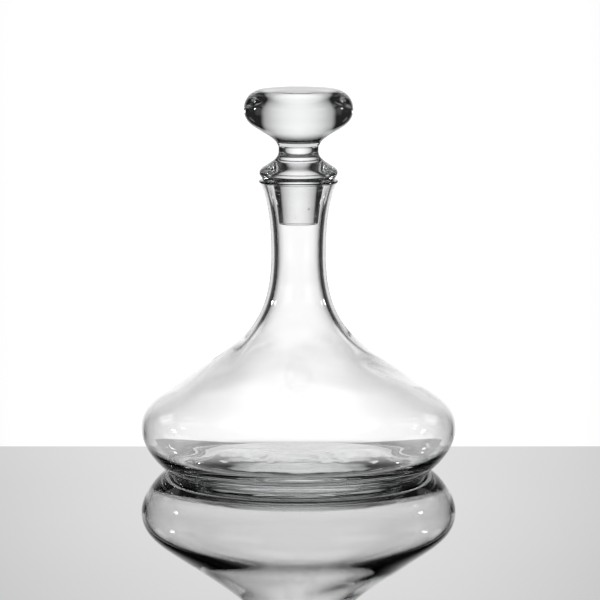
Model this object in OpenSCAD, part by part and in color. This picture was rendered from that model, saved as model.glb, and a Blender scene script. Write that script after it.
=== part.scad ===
// Ship's decanter: a blown glass vessel with a wide heavy base, and a solid glass stopper
// that lifts straight out of its neck.
// The origin is on the table, in the middle of the foot. +Z is up, and the neck is on the Z axis.

/* [Decanter] */
// Widest diameter of the belly
belly_d = 215; // [205:1:225]
// Height of the belly's widest level
belly_z = 28.5; // [26:0.5:32]
// Diameter of the foot on the table
foot_d = 178; // [170:1:186]
// Width of the flat ring that stands on the table
foot_ring_w = 9; // [6:1:14]
// Depth of the hollow ground into the underside
hollow_h = 2; // [0.5:0.5:3]
// Diameter at which the shoulder turns from bulging to hollow
shoulder_d = 156; // [144:1:164]
// Height of that turn
shoulder_z = 62; // [58:0.5:68]
// Slope of the shoulder at the turn, in degrees from level
shoulder_slope = 35; // [28:1:42]
// Outer diameter of the neck at its narrowest
neck_d = 37.2; // [36:0.2:42]
// Height of the neck's narrowest level
neck_z = 148; // [135:1:160]
// Outer diameter of the lip
rim_d = 53.8; // [51:0.2:60]
// Height of the rim, which carries the stopper
rim_z = 199; // [190:1:215]
// Radius of the rounded lip
lip_r = 0.8; // [0.5:0.1:1.2]
// Flare of the mouth just under the lip, in degrees from upright
mouth_flare = 26; // [18:1:32]

/* [Glass thickness] */
// Wall of the belly
belly_wall = 2.6; // [2:0.1:3.5]
// Wall of the shoulder
shoulder_wall = 4; // [3:0.1:4.5]
// Wall of the neck and mouth
neck_wall = 4.5; // [3.5:0.1:4.8]
// Base at the edge of the floor inside
base_t = 6.8; // [6:0.1:10]
// Rise of the floor from its edge to its middle
floor_rise = 8.6; // [2:0.1:10]
// Diameter of the floor, out to where the wall begins to climb
floor_d = 170; // [156:1:172]
// Slope of the raised floor's flank, in degrees from level
flank_slope = 13; // [5:1:18]

/* [Stopper] */
// Diameter of the knob
knob_d = 74.4; // [66:0.2:80]
// Height of the stopper above the rim
stopper_h = 61.8; // [59:0.2:70]
// Height of the knob's widest level above the rim
knob_z = 48.5; // [45:0.5:50]
// Diameter of the waist at its narrowest
waist_d = 27.2; // [24:0.2:30]
// Diameter of the collar that rests on the rim
collar_d = 53.2; // [51:0.2:60]
// Height of the collar's widest level above the rim
collar_z = 5; // [4:0.5:6.5]
// Diameter of the flat seat under the collar
seat_d = 48; // [47:0.2:49]
// Length of the plug below the rim
plug_l = 29.4; // [20:0.2:36]
// Diameter of the plug's free end
plug_end_d = 26.6; // [22:0.2:27]
// Diameter of the plug just under the collar
plug_top_d = 34.4; // [32:0.2:35]

/* [Hidden] */

// Each curve of an outline is drawn in this many straight steps, and each small arc in that many
curve_steps = 20;
arc_steps = 8;
round_fn = 180;
glass_color = [0.86, 0.90, 0.91, 0.5];

// An outline runs through stations. A station is [radius, height, heading], and the heading is the
// outline's direction there, in degrees: 0 is outwards, 90 is up and 180 is inwards.
outwards = 0;
up = 90;
inwards = 180;

// Outer wall of the vessel. The heel is a small round edge between the foot ring and the wall.
heel_r = 0.9;
heel_turn = -35;
heel_slope = 30;
heel_centre = [foot_d / 2 - heel_r * cos(heel_turn), heel_r];
heel = [foot_d / 2, heel_r + heel_r * sin(heel_turn), heel_slope];
belly = [belly_d / 2, belly_z, up];
shoulder = [shoulder_d / 2, shoulder_z, inwards - shoulder_slope];
neck = [neck_d / 2, neck_z, up];
lip_centre = [rim_d / 2 - lip_r, rim_z - lip_r];
lip_root = [lip_centre[0], lip_centre[1] - lip_r, up - mouth_flare];

// Inner wall of the vessel
hollow_middle = [0, hollow_h, outwards];
hollow_edge_slope = -4;
hollow_edge = [foot_d / 2 - foot_ring_w, 0, hollow_edge_slope];
floor_middle = [0, base_t + floor_rise, outwards];
flank_reach = 0.73;
flank_lift = 0.52;
floor_edge_slope = 2;
floor_flank = [flank_reach * floor_d / 2, base_t + flank_lift * floor_rise, -flank_slope];
floor_edge = [floor_d / 2, base_t, floor_edge_slope];
belly_in = inset(belly, belly_wall);
shoulder_in = inset(shoulder, shoulder_wall);
neck_in = inset(neck, neck_wall);
mouth_edge_r = 0.9;
mouth_set_back = 0.4;
mouth_edge_from = inwards - mouth_flare;
mouth_centre = [
    lip_centre[0] - neck_wall * cos(mouth_flare) + mouth_edge_r + mouth_set_back * lip_r,
    rim_z - mouth_edge_r
];
mouth = [
    mouth_centre[0] + mouth_edge_r * cos(mouth_edge_from),
    mouth_centre[1] + mouth_edge_r * sin(mouth_edge_from),
    up - mouth_flare
];

// Stopper, from the free end of the plug to the top of the knob
plug_edge_r = 0.8;
plug_edge_end = -8;
plug_end_heading = 84;
plug_top_heading = 79;
plug_fillet_r = 2.7;
plug_end_z = rim_z - plug_l;
plug_end = [plug_end_d / 2, plug_end_z + plug_edge_r, plug_end_heading];
plug_top = [plug_top_d / 2, rim_z - plug_fillet_r, plug_top_heading];

// Collar, with the upper edge that stands out from the waist by collar_top_out
seat_slope = 57;
collar_top_out = 2.3;
collar_top_rise = 9.6;
collar_top_heading = 139;
seat_edge = [seat_d / 2, rim_z, seat_slope];
collar = [collar_d / 2, rim_z + collar_z, up];
collar_top = [waist_d / 2 + collar_top_out, collar[1] + collar_top_rise, collar_top_heading];

// Waist, between the edge on the collar and the edge under the knob
waist_foot_heading = 134;
waist_rise = 16.7;
waist_top_out = 1.7;
waist_top_rise = 4.4;
waist_top_heading = 66;
waist_foot = [collar_top[0], collar_top[1], waist_foot_heading];
waist = [waist_d / 2, collar[1] + waist_rise, up];
waist_top = [waist_d / 2 + waist_top_out, waist[1] + waist_top_rise, waist_top_heading];

// Knob, with a nearly flat crown that starts at crown_reach of its radius
knob_foot_heading = 45.5;
crown_reach = 0.75;
crown_drop = 0.6;
crown_edge_heading = 168;
knob_foot = [waist_top[0], waist_top[1], knob_foot_heading];
knob = [knob_d / 2, rim_z + knob_z, up];
crown_edge = [crown_reach * knob_d / 2, rim_z + stopper_h - crown_drop, crown_edge_heading];
crown = [0, rim_z + stopper_h, inwards];

// A station moved square to its heading, from the outside of a wall to the inside
function inset(s, wall) = [s[0] - wall * sin(s[2]), s[1] + wall * cos(s[2]), s[2]];

// Smooth curve from station a up to station b, without its last point. Each end follows its heading
// for the given share of the straight distance between the two.
function curve(a, b, share_a, share_b) =
    let (
        p0 = [a[0], a[1]],
        p3 = [b[0], b[1]],
        span = norm(p3 - p0),
        p1 = p0 + share_a * span * [cos(a[2]), sin(a[2])],
        p2 = p3 - share_b * span * [cos(b[2]), sin(b[2])]
    )
    [
        for (i = [0:curve_steps - 1])
            let (t = i / curve_steps, s = 1 - t)
            s * s * s * p0 + 3 * s * s * t * p1 + 3 * s * t * t * p2 + t * t * t * p3
    ];

// Arc about a centre from one angle to another, with both its ends
function arc(centre, r, from, to) = [
    for (i = [0:arc_steps])
        let (a = from + (to - from) * i / arc_steps)
        centre + r * [cos(a), sin(a)]
];

// The same points from last to first
function reversed(points) = [for (i = [len(points) - 1:-1:0]) points[i]];

// The same points, without the last one
function without_last(points) = [for (i = [0:len(points) - 2]) points[i]];

function vessel_outside() = concat(
    without_last(arc(heel_centre, heel_r, -90, heel_turn)),
    curve(heel, belly, 0.28, 0.30),
    curve(belly, shoulder, 0.35, 0.48),
    curve(shoulder, neck, 0.43, 0.49),
    curve(neck, lip_root, 0.57, 0.16),
    arc(lip_centre, lip_r, -90, 90)
);

function vessel_inside() = concat(
    curve(floor_middle, floor_flank, 0.50, 0.28),
    curve(floor_flank, floor_edge, 0.35, 0.45),
    curve(floor_edge, belly_in, 0.33, 0.43),
    curve(belly_in, shoulder_in, 0.35, 0.48),
    curve(shoulder_in, neck_in, 0.43, 0.49),
    curve(neck_in, mouth, 0.57, 0.16),
    reversed(arc(mouth_centre, mouth_edge_r, 90, mouth_edge_from))
);

function underside() = concat(
    curve(hollow_middle, hollow_edge, 0.40, 0.40),
    [[hollow_edge[0], hollow_edge[1]]]
);

function stopper_outline() = concat(
    [[0, plug_end_z]],
    arc([plug_end[0] - plug_edge_r, plug_end[1]], plug_edge_r, -90, plug_edge_end),
    curve(plug_end, plug_top, 0.35, 0.35),
    reversed(arc([plug_top[0] + plug_fillet_r, plug_top[1]], plug_fillet_r, 90, 180)),
    curve(seat_edge, collar, 0.70, 0.20),
    curve(collar, collar_top, 0.27, 0.56),
    curve(waist_foot, waist, 0.50, 0.38),
    curve(waist, waist_top, 0.41, 0.50),
    curve(knob_foot, knob, 0.41, 0.40),
    curve(knob, crown_edge, 0.45, 0.25),
    curve(crown_edge, crown, 0.12, 0.50),
    [[crown[0], crown[1]]]
);

// A closed outline turned once around the Z axis
module turned(outline) {
    rotate_extrude($fn = round_fn)
        polygon(outline);
}

// Vessel: thick base, belly, shoulder, neck and lip in one wall of glass
module decanter() {
    color(glass_color)
        turned(concat(underside(), vessel_outside(), reversed(vessel_inside())));
}

// Stopper: plug, collar, waist and knob in one solid piece
module stopper() {
    color(glass_color)
        turned(stopper_outline());
}

decanter();
stopper();
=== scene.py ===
"""Ship's decanter with its stopper, in clear glass, standing on a pale glossy table."""

import math

import bpy
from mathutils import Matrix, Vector


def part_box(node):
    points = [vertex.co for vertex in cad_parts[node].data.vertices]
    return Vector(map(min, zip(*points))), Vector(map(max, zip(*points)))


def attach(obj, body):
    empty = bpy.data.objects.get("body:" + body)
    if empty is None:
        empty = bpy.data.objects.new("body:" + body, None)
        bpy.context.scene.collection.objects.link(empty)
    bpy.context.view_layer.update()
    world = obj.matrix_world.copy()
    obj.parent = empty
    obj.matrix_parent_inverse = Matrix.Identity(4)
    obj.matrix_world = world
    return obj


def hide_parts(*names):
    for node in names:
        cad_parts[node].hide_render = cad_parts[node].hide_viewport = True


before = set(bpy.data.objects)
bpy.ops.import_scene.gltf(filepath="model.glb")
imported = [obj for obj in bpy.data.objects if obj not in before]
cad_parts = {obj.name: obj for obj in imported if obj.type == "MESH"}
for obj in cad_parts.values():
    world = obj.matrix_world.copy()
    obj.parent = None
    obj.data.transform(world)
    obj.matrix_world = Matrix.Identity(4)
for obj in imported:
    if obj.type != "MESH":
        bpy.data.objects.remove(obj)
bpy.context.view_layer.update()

# ---------------------------------------------------------------------------------------------
# Sizes, in metres, with angles in degrees. The overall sizes come from the CAD frame.
# ---------------------------------------------------------------------------------------------
MM = 0.001
_, vessel_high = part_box("decanter")
stopper_low, stopper_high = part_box("stopper")
BELLY_R = vessel_high[0]
RIM_Z = vessel_high[2]
KNOB_R = stopper_high[0]
TOP_Z = stopper_high[2]
PLUG_END_Z = stopper_low[2]

# Glass that rests on something keeps this much air under it, so that no two faces share a plane
AIR_GAP = 0.03 * MM

# Vessel, outside: foot ring, belly, shoulder, neck and lip
RING_INNER_R = 80.0 * MM
HEEL_CENTRE_R = 88.3 * MM
HEEL_R = 0.9 * MM
HEEL_END = -35
HEEL_SLOPE = 30
BELLY_Z = 28.5 * MM
SHOULDER_R, SHOULDER_Z = 78.0 * MM, 62.0 * MM
SHOULDER_SLOPE = 35
NECK_R, NECK_Z = 18.6 * MM, 148.0 * MM
RIM_R = 26.9 * MM
LIP_R = 0.8 * MM
MOUTH_FLARE = 26

# Vessel, inside: walls, floor, the hollow under the foot and the rounded edge of the mouth
BELLY_WALL, SHOULDER_WALL, NECK_WALL = 2.6 * MM, 4.0 * MM, 4.5 * MM
HOLLOW_Z, HOLLOW_EDGE_SLOPE = 2.0 * MM, 4
FLOOR_MIDDLE_Z = 15.4 * MM
FLANK_R, FLANK_Z, FLANK_SLOPE = 62.0 * MM, 11.3 * MM, 13
FLOOR_R, FLOOR_Z, FLOOR_EDGE_SLOPE = 85.0 * MM, 6.8 * MM, 2
MOUTH_EDGE_R = 0.9 * MM
MOUTH_SET_BACK = 0.4

# Stopper: radii, heights above the rim, and the headings of its outline
PLUG_END_R, PLUG_TOP_R, PLUG_EDGE_R, PLUG_FILLET_R = 13.3 * MM, 17.2 * MM, 0.8 * MM, 2.7 * MM
SEAT_R = 24.0 * MM
COLLAR_R, COLLAR_RISE = 26.6 * MM, 5.0 * MM
COLLAR_TOP_R, COLLAR_TOP_RISE = 15.9 * MM, 14.6 * MM
WAIST_R, WAIST_RISE = 13.6 * MM, 21.7 * MM
WAIST_TOP_R, WAIST_TOP_RISE = 15.3 * MM, 26.1 * MM
KNOB_RISE = 48.5 * MM
CROWN_REACH, CROWN_DROP = 0.75, 0.6 * MM
PLUG_END_HEADING, PLUG_TOP_HEADING, PLUG_EDGE_END = 84, 79, -8
SEAT_HEADING = 57
COLLAR_TOP_HEADING, WAIST_FOOT_HEADING = 139, 134
WAIST_TOP_HEADING, KNOB_FOOT_HEADING = 66, 45.5
CROWN_EDGE_HEADING = 168

# Air bubbles inside the plug: middle and radius
BUBBLES = (
    ((5.6 * MM, -6.5 * MM, RIM_Z - 18.2 * MM), 0.6 * MM),
    ((9.4 * MM, -4.0 * MM, RIM_Z - 23.6 * MM), 0.7 * MM),
    ((-1.8 * MM, -7.5 * MM, RIM_Z - 24.2 * MM), 0.3 * MM),
)

# Hand-made ripples in the floor: crossing waves inside RIPPLE_REACH, and rings round the middle
RIPPLE_REACH = 60 * MM
RIPPLE_COUNT, RIPPLE_HEIGHT = 8, 0.14 * MM
RIPPLE_LONGEST, RIPPLE_SHORTEST = 48 * MM, 17 * MM
RIPPLE_SEED = 0.4
RING_R, RING_SPREAD, RING_LENGTH, RING_HEIGHT = 24 * MM, 14 * MM, 9 * MM, 0.06 * MM

# Extra glass on the inside of the shoulder: a band, thicker towards +X, with an uneven surface.
# Each wave has a count round the vessel, a starting angle in radians and a climb per radian.
BAND_Z, BAND_SPREAD = 75 * MM, 15 * MM
BAND_THICKNESS, BAND_LEAN = 1.1 * MM, 0.5
BAND_UNEVENNESS = 0.3 * MM
BAND_WAVES = ((3, 1.1, 9 * MM), (5, 0.3, -7 * MM), (8, 2.4, 5 * MM))
BAND_LEAST_R = 10 * MM

# How finely the shapes are drawn
CURVE_STEPS = 32
ARC_STEPS = 10
VESSEL_SEGMENTS = 288
STOPPER_SEGMENTS = 224
BUBBLE_STEPS, BUBBLE_SEGMENTS = 14, 24
AXIS_R = 1e-7
SHARP_ANGLE = 28

# Table: its back edge runs straight behind the decanter, and it is wide to the other sides
TABLE_BACK = 0.0915
TABLE_REACH = 4.0
TABLE_THICKNESS = 0.018
# Share of light the table reflects when looked at from straight above
TABLE_REFLECTANCE = 0.45

# Lit backdrop: an upright ellipse, brightest behind the decanter. Its light fades over
# PANEL_SPREAD, and between PANEL_FADE_FROM and the rim it falls to PANEL_RIM_LEVEL of that.
PANEL_Y = 1.3
PANEL_MIDDLE_Z = 0.25
PANEL_HALF_X, PANEL_HALF_Z = 0.84, 1.35
PANEL_SIDES = 96
PANEL_SPREAD_X, PANEL_SPREAD_Z = 0.70, 0.83
PANEL_LEVEL = 1.17
PANEL_FADE_FROM, PANEL_RIM_LEVEL = 0.55, 0.05

# Pale patches of the dark studio, each on both sides: how far round from straight behind, how
# high, and how bright. Each angle is a middle, a half width and the width of a soft edge.
STUDIO_LEVEL = 0.02
STUDIO_PATCHES = (
    ((90, 9, 8), (0, 10, 8), 0.8),
    ((45, 4.5, 3), (25, 4.5, 3), 1.15),
    ((135, 14, 8), (15, 6, 5), 0.8),
)
# The ceiling grows pale between these heights
CEILING_LOW, CEILING_HIGH, CEILING_LEVEL = 48, 66, 0.9
HORIZON_BLEND = 0.002

# Two small lamps, to the left and right of the decanter and a little behind it
LAMP_X, LAMP_Y, LAMP_Z = 1.11, 0.286, 0.38
LAMP_WIDTH, LAMP_HEIGHT, LAMP_WATTS = 0.09, 0.06, 1.5
LAMP_TARGET = (0, 0, 0.06)

# Camera: how far it stands from the foot, how high it looks from, and how far down it points
CAMERA_DISTANCE = 30.0 * BELLY_R
CAMERA_ELEVATION = math.radians(10.05)
CAMERA_PITCH = math.radians(7.995)
CAMERA_YAW = math.radians(0.018)
CAMERA_LENS = 282.6
CAMERA_CLIP_END = 50


# ---------------------------------------------------------------------------------------------
# Outlines. A station is (radius, height, heading), with the heading in degrees: 0 is outwards,
# 90 is up and 180 is inwards.
# ---------------------------------------------------------------------------------------------
OUTWARDS, UP, INWARDS = 0, 90, 180


def inset(station, wall):
    """The station moved square to its heading, from the outside of a wall to the inside."""
    r, z, heading = station
    a = math.radians(heading)
    return (r - wall * math.sin(a), z + wall * math.cos(a), heading)


def curve(a, b, share_a, share_b, steps=CURVE_STEPS):
    """Points on a smooth curve from station a to station b, without the last one.

    Each end follows its heading for the given share of the straight distance between the two."""
    span = math.hypot(b[0] - a[0], b[1] - a[1])
    way_a, way_b = math.radians(a[2]), math.radians(b[2])
    p0 = (a[0], a[1])
    p1 = (a[0] + share_a * span * math.cos(way_a), a[1] + share_a * span * math.sin(way_a))
    p2 = (b[0] - share_b * span * math.cos(way_b), b[1] - share_b * span * math.sin(way_b))
    p3 = (b[0], b[1])
    points = []
    for i in range(steps):
        t = i / steps
        s = 1 - t
        weights = (s * s * s, 3 * s * s * t, 3 * s * t * t, t * t * t)
        points.append(
            tuple(sum(w * p[k] for w, p in zip(weights, (p0, p1, p2, p3))) for k in (0, 1))
        )
    return points


def arc(centre, r, start, end, steps=ARC_STEPS):
    """Points on an arc from one angle to another, in degrees, with both its ends."""
    points = []
    for i in range(steps + 1):
        a = math.radians(start + (end - start) * i / steps)
        points.append((centre[0] + r * math.cos(a), centre[1] + r * math.sin(a)))
    return points


def vessel_outline():
    """The vessel's outline, from the middle of its underside round to the middle of its floor.

    Returns the points and a tag for each: which stretch of the glass it belongs to."""
    foot_z = AIR_GAP
    rim_z = RIM_Z - AIR_GAP

    hollow_middle = (0, HOLLOW_Z, OUTWARDS)
    hollow_edge = (RING_INNER_R, foot_z, -HOLLOW_EDGE_SLOPE)
    heel_centre = (HEEL_CENTRE_R, foot_z + HEEL_R)
    heel_end = math.radians(HEEL_END)
    heel = (
        heel_centre[0] + HEEL_R * math.cos(heel_end),
        heel_centre[1] + HEEL_R * math.sin(heel_end),
        HEEL_SLOPE,
    )
    belly = (BELLY_R, BELLY_Z, UP)
    shoulder = (SHOULDER_R, SHOULDER_Z, INWARDS - SHOULDER_SLOPE)
    neck = (NECK_R, NECK_Z, UP)
    lip_centre = (RIM_R - LIP_R, rim_z - LIP_R)
    lip_root = (lip_centre[0], lip_centre[1] - LIP_R, UP - MOUTH_FLARE)

    floor_middle = (0, FLOOR_MIDDLE_Z, OUTWARDS)
    floor_flank = (FLANK_R, FLANK_Z, -FLANK_SLOPE)
    floor_edge = (FLOOR_R, FLOOR_Z, FLOOR_EDGE_SLOPE)
    belly_in = inset(belly, BELLY_WALL)
    shoulder_in = inset(shoulder, SHOULDER_WALL)
    neck_in = inset(neck, NECK_WALL)
    edge_start = math.radians(INWARDS - MOUTH_FLARE)
    edge_centre = (
        lip_centre[0]
        - NECK_WALL * math.cos(math.radians(MOUTH_FLARE))
        + MOUTH_EDGE_R
        + MOUTH_SET_BACK * LIP_R,
        rim_z - MOUTH_EDGE_R,
    )
    mouth = (
        edge_centre[0] + MOUTH_EDGE_R * math.cos(edge_start),
        edge_centre[1] + MOUTH_EDGE_R * math.sin(edge_start),
        UP - MOUTH_FLARE,
    )

    under = curve(hollow_middle, hollow_edge, 0.40, 0.40) + [hollow_edge[:2]]
    outside = (
        arc(heel_centre, HEEL_R, -90, math.degrees(heel_end))[:-1]
        + curve(heel, belly, 0.28, 0.30)
        + curve(belly, shoulder, 0.35, 0.48)
        + curve(shoulder, neck, 0.43, 0.49, 2 * CURVE_STEPS)
        + curve(neck, lip_root, 0.57, 0.16)
        + arc(lip_centre, LIP_R, -90, 90)
    )
    floor = curve(floor_middle, floor_flank, 0.50, 0.28) + curve(
        floor_flank, floor_edge, 0.35, 0.45
    )
    inside = (
        curve(floor_edge, belly_in, 0.33, 0.43)
        + curve(belly_in, shoulder_in, 0.35, 0.48)
        + curve(shoulder_in, neck_in, 0.43, 0.49, 2 * CURVE_STEPS)
        + curve(neck_in, mouth, 0.57, 0.16)
        + arc(edge_centre, MOUTH_EDGE_R, INWARDS - MOUTH_FLARE, 90)
    )
    points = under + outside + inside[::-1] + floor[::-1]
    tags = (
        ["under"] * len(under)
        + ["outside"] * len(outside)
        + ["inside"] * len(inside)
        + ["floor"] * len(floor)
    )
    return points, tags


def stopper_outline():
    """The stopper's outline, from the free end of the plug up to the top of the knob."""
    seat_z = RIM_Z + AIR_GAP
    plug_end = (PLUG_END_R, PLUG_END_Z + PLUG_EDGE_R, PLUG_END_HEADING)
    plug_top = (PLUG_TOP_R, seat_z - PLUG_FILLET_R, PLUG_TOP_HEADING)
    seat_edge = (SEAT_R, seat_z, SEAT_HEADING)
    collar = (COLLAR_R, RIM_Z + COLLAR_RISE, UP)
    collar_top = (COLLAR_TOP_R, RIM_Z + COLLAR_TOP_RISE, COLLAR_TOP_HEADING)
    waist_foot = (*collar_top[:2], WAIST_FOOT_HEADING)
    waist = (WAIST_R, RIM_Z + WAIST_RISE, UP)
    waist_top = (WAIST_TOP_R, RIM_Z + WAIST_TOP_RISE, WAIST_TOP_HEADING)
    knob_foot = (*waist_top[:2], KNOB_FOOT_HEADING)
    knob = (KNOB_R, RIM_Z + KNOB_RISE, UP)
    crown_edge = (CROWN_REACH * KNOB_R, TOP_Z - CROWN_DROP, CROWN_EDGE_HEADING)
    crown = (0, TOP_Z, INWARDS)
    return (
        [(0, PLUG_END_Z)]
        + arc((plug_end[0] - PLUG_EDGE_R, plug_end[1]), PLUG_EDGE_R, -90, PLUG_EDGE_END)
        + curve(plug_end, plug_top, 0.35, 0.35)
        + arc((plug_top[0] + PLUG_FILLET_R, plug_top[1]), PLUG_FILLET_R, 180, 90)
        + curve(seat_edge, collar, 0.70, 0.20)
        + curve(collar, collar_top, 0.27, 0.56)
        + curve(waist_foot, waist, 0.50, 0.38)
        + curve(waist, waist_top, 0.41, 0.50)
        + curve(knob_foot, knob, 0.41, 0.40)
        + curve(knob, crown_edge, 0.45, 0.25)
        + curve(crown_edge, crown, 0.12, 0.50)
        + [crown[:2]]
    )


# ---------------------------------------------------------------------------------------------
# Meshes
# ---------------------------------------------------------------------------------------------
def turned(outline, segments, move=None):
    """Points and faces made by turning an outline about Z. move(i, x, y, z) may shift each point."""
    verts, faces, rings = [], [], []
    for i, (r, z) in enumerate(outline):
        ring = []
        count = 1 if r < AXIS_R else segments
        for k in range(count):
            a = 2 * math.pi * k / segments
            point = (r * math.cos(a), r * math.sin(a), z)
            if move is not None:
                point = move(i, *point)
            ring.append(len(verts))
            verts.append(point)
        rings.append(ring)
    for lower, upper in zip(rings[:-1], rings[1:]):
        for k in range(segments):
            n = (k + 1) % segments
            if len(lower) == 1 and len(upper) == 1:
                continue
            if len(lower) == 1:
                faces.append((lower[0], upper[n], upper[k]))
            elif len(upper) == 1:
                faces.append((lower[k], lower[n], upper[0]))
            else:
                faces.append((lower[k], lower[n], upper[n], upper[k]))
    return verts, faces


def add_bubble(verts, faces, centre, radius):
    """A round air bubble inside solid glass: a small ball whose faces look inwards."""
    ball, ball_faces = turned(arc((0, 0), radius, -90, 90, BUBBLE_STEPS), BUBBLE_SEGMENTS)
    start = len(verts)
    verts.extend((x + centre[0], y + centre[1], z + centre[2]) for x, y, z in ball)
    faces.extend(tuple(start + v for v in reversed(face)) for face in ball_faces)


def new_mesh(name, verts, faces):
    """A mesh object, smooth but for its sharp edges, linked to the scene."""
    mesh = bpy.data.meshes.new(name)
    mesh.from_pydata(verts, [], faces)
    mesh.validate()
    mesh.shade_smooth()
    mesh.set_sharp_from_angle(angle=math.radians(SHARP_ANGLE))
    obj = bpy.data.objects.new(name, mesh)
    bpy.context.scene.collection.objects.link(obj)
    return obj


GOLDEN_ANGLE = math.radians(137.5)
PHASE_STEP = 1.7


def waves(x, y, count, longest, shortest, seed):
    """A smooth uneven surface, from -1 to 1: a sum of straight waves in spread directions."""
    total = 0.0
    for k in range(count):
        way = seed + k * GOLDEN_ANGLE
        length = longest * (shortest / longest) ** (k / max(count - 1, 1))
        along = x * math.cos(way) + y * math.sin(way)
        total += math.sin(2 * math.pi * along / length + PHASE_STEP * k + seed)
    return total / count


def floor_ripple(x, y, r):
    """How far the floor stands above its true shape."""
    calm = math.exp(-((r / RIPPLE_REACH) ** 6))
    near_rings = math.exp(-(((r - RING_R) / RING_SPREAD) ** 2))
    rings = near_rings * math.cos(2 * math.pi * r / RING_LENGTH)
    crossing = waves(x, y, RIPPLE_COUNT, RIPPLE_LONGEST, RIPPLE_SHORTEST, RIPPLE_SEED)
    return calm * (RIPPLE_HEIGHT * crossing + RING_HEIGHT * rings)


def shoulder_extra(x, y, z):
    """How much thicker than true the shoulder's wall is."""
    turn = math.atan2(y, x)
    band = math.exp(-(((z - BAND_Z) / BAND_SPREAD) ** 2))
    uneven = sum(math.sin(count * turn + start + z / climb) for count, start, climb in BAND_WAVES)
    lean = 1 + BAND_LEAN * math.cos(turn)
    return band * (BAND_THICKNESS * lean + BAND_UNEVENNESS * uneven)


def vessel_move(tags):
    """How hand-blown glass differs from a true body of revolution, as a move for turned()."""

    def move(i, x, y, z):
        r = math.hypot(x, y)
        if tags[i] == "floor":
            z += floor_ripple(x, y, r)
        elif tags[i] == "inside" and r > BAND_LEAST_R:
            thick = shoulder_extra(x, y, z)
            x, y = x * (1 - thick / r), y * (1 - thick / r)
        return (x, y, z)

    return move


# ---------------------------------------------------------------------------------------------
# Shader nodes
# ---------------------------------------------------------------------------------------------
class Shade:
    """Small helper that builds a chain of Math nodes."""

    def __init__(self, tree):
        self.tree = tree

    def math(self, operation, *values):
        node = self.tree.nodes.new("ShaderNodeMath")
        node.operation = operation
        for socket, value in zip(node.inputs, values):
            if isinstance(value, (int, float)):
                socket.default_value = value
            else:
                self.tree.links.new(value, socket)
        return node.outputs[0]

    def ramp(self, value, low, high, at_low, at_high):
        """A smooth change from at_low to at_high as value goes from low to high."""
        node = self.tree.nodes.new("ShaderNodeMapRange")
        node.interpolation_type = "SMOOTHSTEP"
        self.tree.links.new(value, node.inputs["Value"])
        for key, number in (
            ("From Min", low),
            ("From Max", high),
            ("To Min", at_low),
            ("To Max", at_high),
        ):
            node.inputs[key].default_value = number
        return node.outputs["Result"]

    def share(self, value, whole, power):
        """The size of value as a share of whole, raised to a power."""
        part = self.math("DIVIDE", self.math("ABSOLUTE", value), whole)
        return self.math("POWER", part, power)

    def axes(self, coordinates):
        """The x, y and z of one of the texture coordinates."""
        coords = self.tree.nodes.new("ShaderNodeTexCoord")
        parts = self.tree.nodes.new("ShaderNodeSeparateXYZ")
        self.tree.links.new(coords.outputs[coordinates], parts.inputs[0])
        return parts.outputs


# Each surface has three noises: the first sets roughness, the second bump and the third tone
NOISE_FACTORS = (1.0, 2.7, 0.4)
NOISE_DETAIL = 3.0
NOISE_LOW, NOISE_HIGH = 0.35, 0.65


def surface_detail(tree, scale, roughness, tones, bump_height):
    """Drives a shader's roughness, tone and bump from soft noise, in metres on the object.

    roughness and tones are each a lowest and a highest value."""
    nodes, links = tree.nodes, tree.links
    shade = Shade(tree)
    shader = nodes["Principled BSDF"]
    coords = nodes.new("ShaderNodeTexCoord")
    noises = []
    for k, factor in enumerate(NOISE_FACTORS):
        noise = nodes.new("ShaderNodeTexNoise")
        noise.inputs["Scale"].default_value = scale * factor
        noise.inputs["Detail"].default_value = NOISE_DETAIL - k
        links.new(coords.outputs["Object"], noise.inputs["Vector"])
        noises.append(noise.outputs["Fac"])
    rough = shade.ramp(noises[0], NOISE_LOW, NOISE_HIGH, *roughness)
    links.new(rough, shader.inputs["Roughness"])
    tone = nodes.new("ShaderNodeCombineColor")
    level = shade.ramp(noises[2], NOISE_LOW, NOISE_HIGH, *tones)
    for socket in tone.inputs:
        links.new(level, socket)
    links.new(tone.outputs[0], shader.inputs["Base Color"])
    bump = nodes.new("ShaderNodeBump")
    bump.inputs["Strength"].default_value = 1.0
    bump.inputs["Distance"].default_value = bump_height
    links.new(noises[1], bump.inputs["Height"])
    links.new(bump.outputs["Normal"], shader.inputs["Normal"])


# ---------------------------------------------------------------------------------------------
# Materials
# ---------------------------------------------------------------------------------------------
GLASS_IOR = 1.5
GLASS_COLOR, GLASS_DENSITY = (0.50, 0.54, 0.535, 1.0), 4.0


def new_material(name):
    mat = bpy.data.materials.new(name)
    mat.use_nodes = True
    return mat, mat.node_tree


def glass_material(name):
    """Clear glass, a little darker and cooler the more of it the light crosses."""
    mat, tree = new_material(name)
    shader = tree.nodes["Principled BSDF"]
    shader.inputs["IOR"].default_value = GLASS_IOR
    shader.inputs["Transmission Weight"].default_value = 1.0
    surface_detail(
        tree, scale=30.0, roughness=(0.0, 0.012), tones=(0.985, 1.0), bump_height=0.004 * MM
    )
    absorb = tree.nodes.new("ShaderNodeVolumeAbsorption")
    absorb.inputs["Color"].default_value = GLASS_COLOR
    absorb.inputs["Density"].default_value = GLASS_DENSITY
    tree.links.new(absorb.outputs["Volume"], tree.nodes["Material Output"].inputs["Volume"])
    return mat


def table_material():
    """The table's top: a grey mirror with a faint haze."""
    mat, tree = new_material("table_gloss")
    tree.nodes["Principled BSDF"].inputs["Metallic"].default_value = 1.0
    tones = (0.98 * TABLE_REFLECTANCE, 1.02 * TABLE_REFLECTANCE)
    surface_detail(tree, scale=6.0, roughness=(0.012, 0.03), tones=tones, bump_height=0.0)
    return mat


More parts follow.
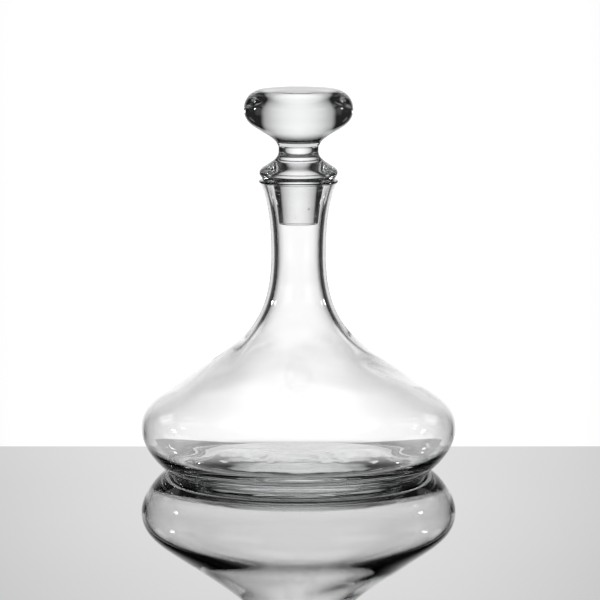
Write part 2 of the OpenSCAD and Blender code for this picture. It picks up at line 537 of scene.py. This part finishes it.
def table_edge_material():
    """The table's sides: pale and matt."""
    mat, tree = new_material("table_edge")
    surface_detail(
        tree, scale=20.0, roughness=(0.35, 0.5), tones=(0.74, 0.8), bump_height=0.05 * MM
    )
    return mat


def panel_material():
    """A lit backdrop, brightest straight behind the decanter and fading to its edges."""
    mat, tree = new_material("backdrop_glow")
    tree.nodes.remove(tree.nodes["Principled BSDF"])
    shade = Shade(tree)
    x, _, z = shade.axes("Object")
    across = shade.share(x, PANEL_SPREAD_X, 2.0)
    along = shade.share(z, PANEL_SPREAD_Z, 4.0)
    fade = shade.math("EXPONENT", shade.math("MULTIPLY", shade.math("ADD", across, along), -1.0))
    out_x = shade.share(x, PANEL_HALF_X, 2.0)
    out_z = shade.share(shade.math("SUBTRACT", z, PANEL_MIDDLE_Z), PANEL_HALF_Z, 2.0)
    out = shade.math("ADD", out_x, out_z)
    rim = shade.ramp(out, PANEL_FADE_FROM, 1.0, 1.0, PANEL_RIM_LEVEL)
    fade = shade.math("MULTIPLY", fade, rim)
    glow = tree.nodes.new("ShaderNodeEmission")
    tree.links.new(shade.math("MULTIPLY", fade, PANEL_LEVEL), glow.inputs["Strength"])
    tree.links.new(glow.outputs[0], tree.nodes["Material Output"].inputs["Surface"])
    return mat


# ---------------------------------------------------------------------------------------------
# Studio: world, lamps, table, backdrop and camera
# ---------------------------------------------------------------------------------------------
def make_world():
    """A dark studio with pale patches and a pale ceiling.

    Below the horizon each of them shows again, as dim as the table reflects it."""
    world = bpy.data.worlds.new("studio")
    bpy.context.scene.world = world
    world.use_nodes = True
    tree = world.node_tree
    shade = Shade(tree)
    x, y, z = shade.axes("Generated")
    deg = math.radians(1)
    turn = shade.math("ABSOLUTE", shade.math("ARCTAN2", x, y))
    rise = shade.math("ABSOLUTE", shade.math("ARCSINE", z))

    def window(value, middle, half, soft):
        away = shade.math("ABSOLUTE", shade.math("SUBTRACT", value, middle * deg))
        return shade.ramp(away, half * deg, (half + soft) * deg, 1.0, 0.0)

    def lighter(level, patch, brightness):
        return shade.math("MAXIMUM", level, shade.math("MULTIPLY", patch, brightness))

    level = STUDIO_LEVEL
    for turn_window, rise_window, brightness in STUDIO_PATCHES:
        patch = shade.math("MULTIPLY", window(turn, *turn_window), window(rise, *rise_window))
        level = lighter(level, patch, brightness)
    height = shade.math("ARCSINE", z)
    ceiling = shade.ramp(height, CEILING_LOW * deg, CEILING_HIGH * deg, 0.0, 1.0)
    level = lighter(level, ceiling, CEILING_LEVEL)

    # The table reflects TABLE_REFLECTANCE from above, and all of the light at a grazing angle
    graze = shade.math("POWER", shade.math("SUBTRACT", 1.0, shade.math("ABSOLUTE", z)), 5.0)
    mirrored = shade.math("MULTIPLY_ADD", graze, 1.0 - TABLE_REFLECTANCE, TABLE_REFLECTANCE)
    above = shade.ramp(z, -HORIZON_BLEND, HORIZON_BLEND, 0.0, 1.0)
    strength = shade.math("MULTIPLY", level, shade.math("MAXIMUM", mirrored, above))
    background = tree.nodes["Background"]
    tree.links.new(strength, background.inputs["Strength"])
    background.inputs["Color"].default_value = (1.0, 1.0, 1.0, 1.0)


def make_lamp(name, side):
    """A small lamp, on the left for side -1 and on the right for side 1."""
    light = bpy.data.lights.new(name, "AREA")
    light.shape = "RECTANGLE"
    light.size, light.size_y = LAMP_WIDTH, LAMP_HEIGHT
    light.energy = LAMP_WATTS
    place = (side * LAMP_X, LAMP_Y, LAMP_Z)
    obj = bpy.data.objects.new(name, light)
    obj.location = place
    aim = Vector(LAMP_TARGET) - Vector(place)
    obj.rotation_euler = aim.to_track_quat("-Z", "Y").to_euler()
    bpy.context.scene.collection.objects.link(obj)


def make_table():
    """A slab with a glossy top and pale sides."""
    outline = (
        (-TABLE_REACH, -TABLE_REACH),
        (TABLE_REACH, -TABLE_REACH),
        (TABLE_REACH, TABLE_BACK),
        (-TABLE_REACH, TABLE_BACK),
    )
    corners = [(x, y, height) for height in (0.0, -TABLE_THICKNESS) for x, y in outline]
    top, bottom = (0, 1, 2, 3), (7, 6, 5, 4)
    sides = [(k, k + 4, (k + 1) % 4 + 4, (k + 1) % 4) for k in range(4)]
    table = new_mesh("table", corners, [top, bottom, *sides])
    table.data.materials.append(table_material())
    table.data.materials.append(table_edge_material())
    for face in table.data.polygons[1:]:
        face.material_index = 1


def make_backdrop():
    """The lit backdrop: one upright ellipse."""
    rim = []
    for k in range(PANEL_SIDES):
        a = 2 * math.pi * k / PANEL_SIDES
        rim.append(
            (PANEL_HALF_X * math.cos(a), PANEL_Y, PANEL_MIDDLE_Z + PANEL_HALF_Z * math.sin(a))
        )
    panel = new_mesh("backdrop", rim, [tuple(range(PANEL_SIDES))])
    panel.data.materials.append(panel_material())


def make_camera():
    data = bpy.data.cameras.new("camera")
    data.lens = CAMERA_LENS
    data.clip_end = CAMERA_CLIP_END
    camera = bpy.data.objects.new("camera", data)
    camera.location = (
        0,
        -CAMERA_DISTANCE * math.cos(CAMERA_ELEVATION),
        CAMERA_DISTANCE * math.sin(CAMERA_ELEVATION),
    )
    camera.rotation_euler = (math.pi / 2 - CAMERA_PITCH, 0, -CAMERA_YAW)
    bpy.context.scene.collection.objects.link(camera)
    bpy.context.scene.camera = camera


# ---------------------------------------------------------------------------------------------
# Build
# ---------------------------------------------------------------------------------------------
vessel_points, vessel_tags = vessel_outline()
vessel_mesh = turned(vessel_points, VESSEL_SEGMENTS, vessel_move(vessel_tags))
vessel = new_mesh("decanter_glass_body", *vessel_mesh)
vessel.data.materials.append(glass_material("decanter_glass"))
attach(vessel, "vessel")
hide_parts("decanter")

stopper_verts, stopper_faces = turned(stopper_outline(), STOPPER_SEGMENTS)
for bubble_centre, bubble_r in BUBBLES:
    add_bubble(stopper_verts, stopper_faces, bubble_centre, bubble_r)
stopper = new_mesh("stopper_glass_body", stopper_verts, stopper_faces)
stopper.data.materials.append(glass_material("stopper_glass"))
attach(stopper, "loose_stopper")
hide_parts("stopper")

make_table()
make_backdrop()
make_world()
make_lamp("lamp_left", -1)
make_lamp("lamp_right", 1)
make_camera()

# Light crosses many walls of glass here, so it may bounce more often than usual
scene = bpy.context.scene
scene.view_settings.view_transform = "Standard"
scene.cycles.max_bounces = 24
scene.cycles.transmission_bounces = 24
scene.cycles.glossy_bounces = 16
